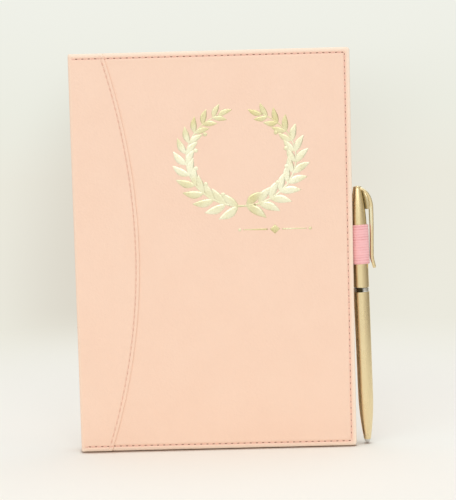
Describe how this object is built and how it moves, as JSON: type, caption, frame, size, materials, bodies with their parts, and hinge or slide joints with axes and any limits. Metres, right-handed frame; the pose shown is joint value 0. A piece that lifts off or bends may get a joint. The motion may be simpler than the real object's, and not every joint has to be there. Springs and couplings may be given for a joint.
{
  "type": "address book",
  "caption": "Soft-covered address book with step-cut index pages, a curved spine panel and a twist ballpoint pen held in an elastic loop at the fore-edge.",
  "frame": {"origin": "centre of the overall box at the tail edges that the book stands on", "axes": "+X from the spine to the fore-edge and the pen, +Y from the front cover to the back cover, +Z from tail to head"},
  "size_m": [0.1633, 0.0152, 0.216],
  "materials": {
    "skin": "soft matt synthetic leather, pale salmon pink",
    "board": "grey board",
    "lining": "uncoated paper, pale pink",
    "thread": "twisted thread, dusky pink",
    "elastic": "ribbed woven elastic, rose pink",
    "paper": "uncoated cream writing paper",
    "gold_metal": "satin pale gold plating",
    "bright_metal": "bright plated metal",
    "mechanism": "moulded plastic",
    "refill_metal": "drawn steel tube"
  },
  "bodies": {
    "back_cover": {"back_board": "board", "back_panel": "skin", "back_wing": "skin", "back_lining": "lining", "back_edge_stitches": "thread", "back_seam_stitches": "thread", "pen_loop": "elastic", "pages_xyz": "paper"},
    "spine": {"spine_board": "board", "spine_wrap": "skin"},
    "front_cover": {"front_board": "board", "front_panel": "skin", "front_wing": "skin", "front_lining": "lining", "front_edge_stitches": "thread", "front_seam_stitches": "thread"},
    "pen_upper": {"pen_upper_barrel": "gold_metal", "pen_twist_sleeve": "mechanism", "pen_clip": "gold_metal", "pen_clip_stud": "gold_metal"},
    "pen_lower": {"pen_lower_barrel": "gold_metal", "pen_nose_tip": "bright_metal", "pen_centre_ring": "bright_metal", "pen_twist_neck": "mechanism"},
    "refill": {"pen_refill_nib": "bright_metal", "pen_refill_ball": "bright_metal", "pen_refill_tube": "refill_metal", "pen_refill_plunger": "mechanism"},
    "section_ab": {"pages_ab": "paper"},
    "section_cd": {"pages_cd": "paper"},
    "section_ef": {"pages_ef": "paper"},
    "section_gh": {"pages_gh": "paper"},
    "section_ij": {"pages_ij": "paper"},
    "section_kl": {"pages_kl": "paper"},
    "section_mn": {"pages_mn": "paper"},
    "section_op": {"pages_op": "paper"},
    "section_qr": {"pages_qr": "paper"},
    "section_st": {"pages_st": "paper"},
    "section_uvw": {"pages_uvw": "paper"}
  },
  "joints": [
    {"name": "spine_fold", "type": "hinge", "parent": "back_cover", "child": "spine", "pos_m": [-0.08114, 0.00668, 0], "axis": [0, 0, -1], "range_deg": [0, 90]},
    {"name": "front_cover_fold", "type": "hinge", "parent": "spine", "child": "front_cover", "pos_m": [-0.08114, -0.00668, 0], "axis": [0, 0, -1], "range_deg": [0, 90]},
    {"name": "turn_ab", "type": "hinge", "parent": "back_cover", "child": "section_ab", "pos_m": [-0.07804, 0, 0], "axis": [0, 0, -1], "range_deg": [0, 177]},
    {"name": "turn_cd", "type": "hinge", "parent": "back_cover", "child": "section_cd", "pos_m": [-0.07804, 0, 0], "axis": [0, 0, -1], "range_deg": [0, 171]},
    {"name": "turn_ef", "type": "hinge", "parent": "back_cover", "child": "section_ef", "pos_m": [-0.07804, 0, 0], "axis": [0, 0, -1], "range_deg": [0, 163]},
    {"name": "turn_gh", "type": "hinge", "parent": "back_cover", "child": "section_gh", "pos_m": [-0.07804, 0, 0], "axis": [0, 0, -1], "range_deg": [0, 152]},
    {"name": "turn_ij", "type": "hinge", "parent": "back_cover", "child": "section_ij", "pos_m": [-0.07804, 0, 0], "axis": [0, 0, -1], "range_deg": [0, 138]},
    {"name": "turn_kl", "type": "hinge", "parent": "back_cover", "child": "section_kl", "pos_m": [-0.07804, 0, 0], "axis": [0, 0, -1], "range_deg": [0, 120]},
    {"name": "turn_mn", "type": "hinge", "parent": "back_cover", "child": "section_mn", "pos_m": [-0.07804, 0, 0], "axis": [0, 0, -1], "range_deg": [0, 60]},
    {"name": "turn_op", "type": "hinge", "parent": "back_cover", "child": "section_op", "pos_m": [-0.07804, 0, 0], "axis": [0, 0, -1], "range_deg": [0, 42]},
    {"name": "turn_qr", "type": "hinge", "parent": "back_cover", "child": "section_qr", "pos_m": [-0.07804, 0, 0], "axis": [0, 0, -1], "range_deg": [0, 28]},
    {"name": "turn_st", "type": "hinge", "parent": "back_cover", "child": "section_st", "pos_m": [-0.07804, 0, 0], "axis": [0, 0, -1], "range_deg": [0, 17]},
    {"name": "turn_uvw", "type": "hinge", "parent": "back_cover", "child": "section_uvw", "pos_m": [-0.07804, 0, 0], "axis": [0, 0, -1], "range_deg": [0, 9]},
    {"name": "pen_slide", "type": "slide", "parent": "back_cover", "child": "pen_upper", "axis": [-0.0227, 0, 0.9997], "range_m": [0, 0.122]},
    {"name": "pen_twist", "type": "hinge", "parent": "pen_upper", "child": "pen_lower", "pos_m": [0.0754, -0.00027, 0.0002], "axis": [-0.0227, 0, 0.9997], "range_deg": [0, 180]},
    {"name": "refill_slide", "type": "slide", "parent": "pen_upper", "child": "refill", "axis": [0.0227, 0, -0.9997], "range_m": [0, 0.004]}
  ],
  "couplings": [
    {"joint": "front_cover_fold", "follows": "spine_fold", "ratio": 1},
    {"joint": "turn_ab", "follows": "spine_fold", "ratio": 1.9667},
    {"joint": "turn_cd", "follows": "spine_fold", "ratio": 1.9},
    {"joint": "turn_ef", "follows": "spine_fold", "ratio": 1.8111},
    {"joint": "turn_gh", "follows": "spine_fold", "ratio": 1.6889},
    {"joint": "turn_ij", "follows": "spine_fold", "ratio": 1.5333},
    {"joint": "turn_kl", "follows": "spine_fold", "ratio": 1.3333},
    {"joint": "turn_mn", "follows": "spine_fold", "ratio": 0.66667},
    {"joint": "turn_op", "follows": "spine_fold", "ratio": 0.46667},
    {"joint": "turn_qr", "follows": "spine_fold", "ratio": 0.31111},
    {"joint": "turn_st", "follows": "spine_fold", "ratio": 0.18889},
    {"joint": "turn_uvw", "follows": "spine_fold", "ratio": 0.1},
    {"joint": "refill_slide", "follows": "pen_twist", "m_per_rad": 0.0012732}
  ]
}
